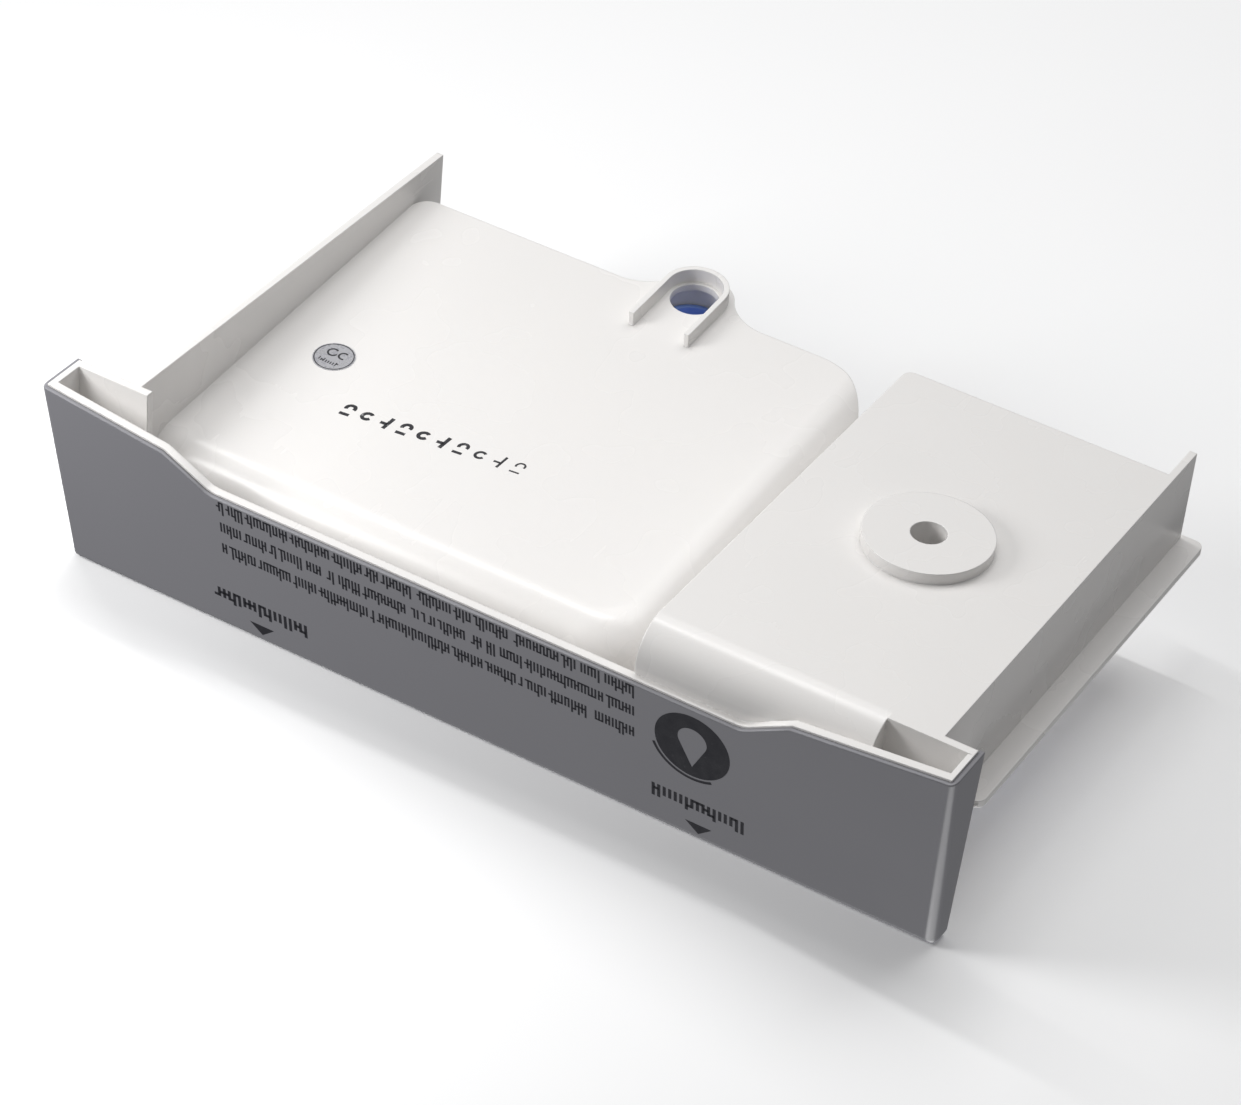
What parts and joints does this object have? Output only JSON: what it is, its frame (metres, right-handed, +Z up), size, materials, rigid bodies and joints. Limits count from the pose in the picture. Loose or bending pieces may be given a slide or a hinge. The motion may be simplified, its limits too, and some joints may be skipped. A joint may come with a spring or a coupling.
{
  "type": "detergent dispenser drawer",
  "caption": "White pull-out dispenser drawer of a washing machine with detergent and softener compartments, side guide flanges, a leaning front and lift-off blue caps.",
  "frame": {"origin": "centre of the drawer's outline in plan, level with its lowest face, the underside of the round sump", "axes": "+X across the front towards the detergent compartment's side, +Y from the front panel to the rear, +Z up as the drawer is used"},
  "size_m": [0.2828, 0.1702, 0.0675],
  "materials": {
    "white_plastic": "glossy moulded",
    "face_plastic": "satin moulded",
    "blue_plastic": "glossy moulded",
    "foil": "brushed foil"
  },
  "bodies": {
    "drawer": {"tray": "white_plastic", "front_cover": "face_plastic", "inspection_sticker": "foil"},
    "drain_cap": {"detergent_drain_cap": "blue_plastic"},
    "siphon_cap": {"softener_siphon_cap": "blue_plastic"}
  },
  "joints": [
    {"name": "drain_cap_lift", "type": "slide", "parent": "drawer", "child": "drain_cap", "axis": [0, 0, 1], "range_m": [0, 0.03]},
    {"name": "siphon_cap_lift", "type": "slide", "parent": "drawer", "child": "siphon_cap", "axis": [0, 0, 1], "range_m": [0, 0.045]}
  ]
}
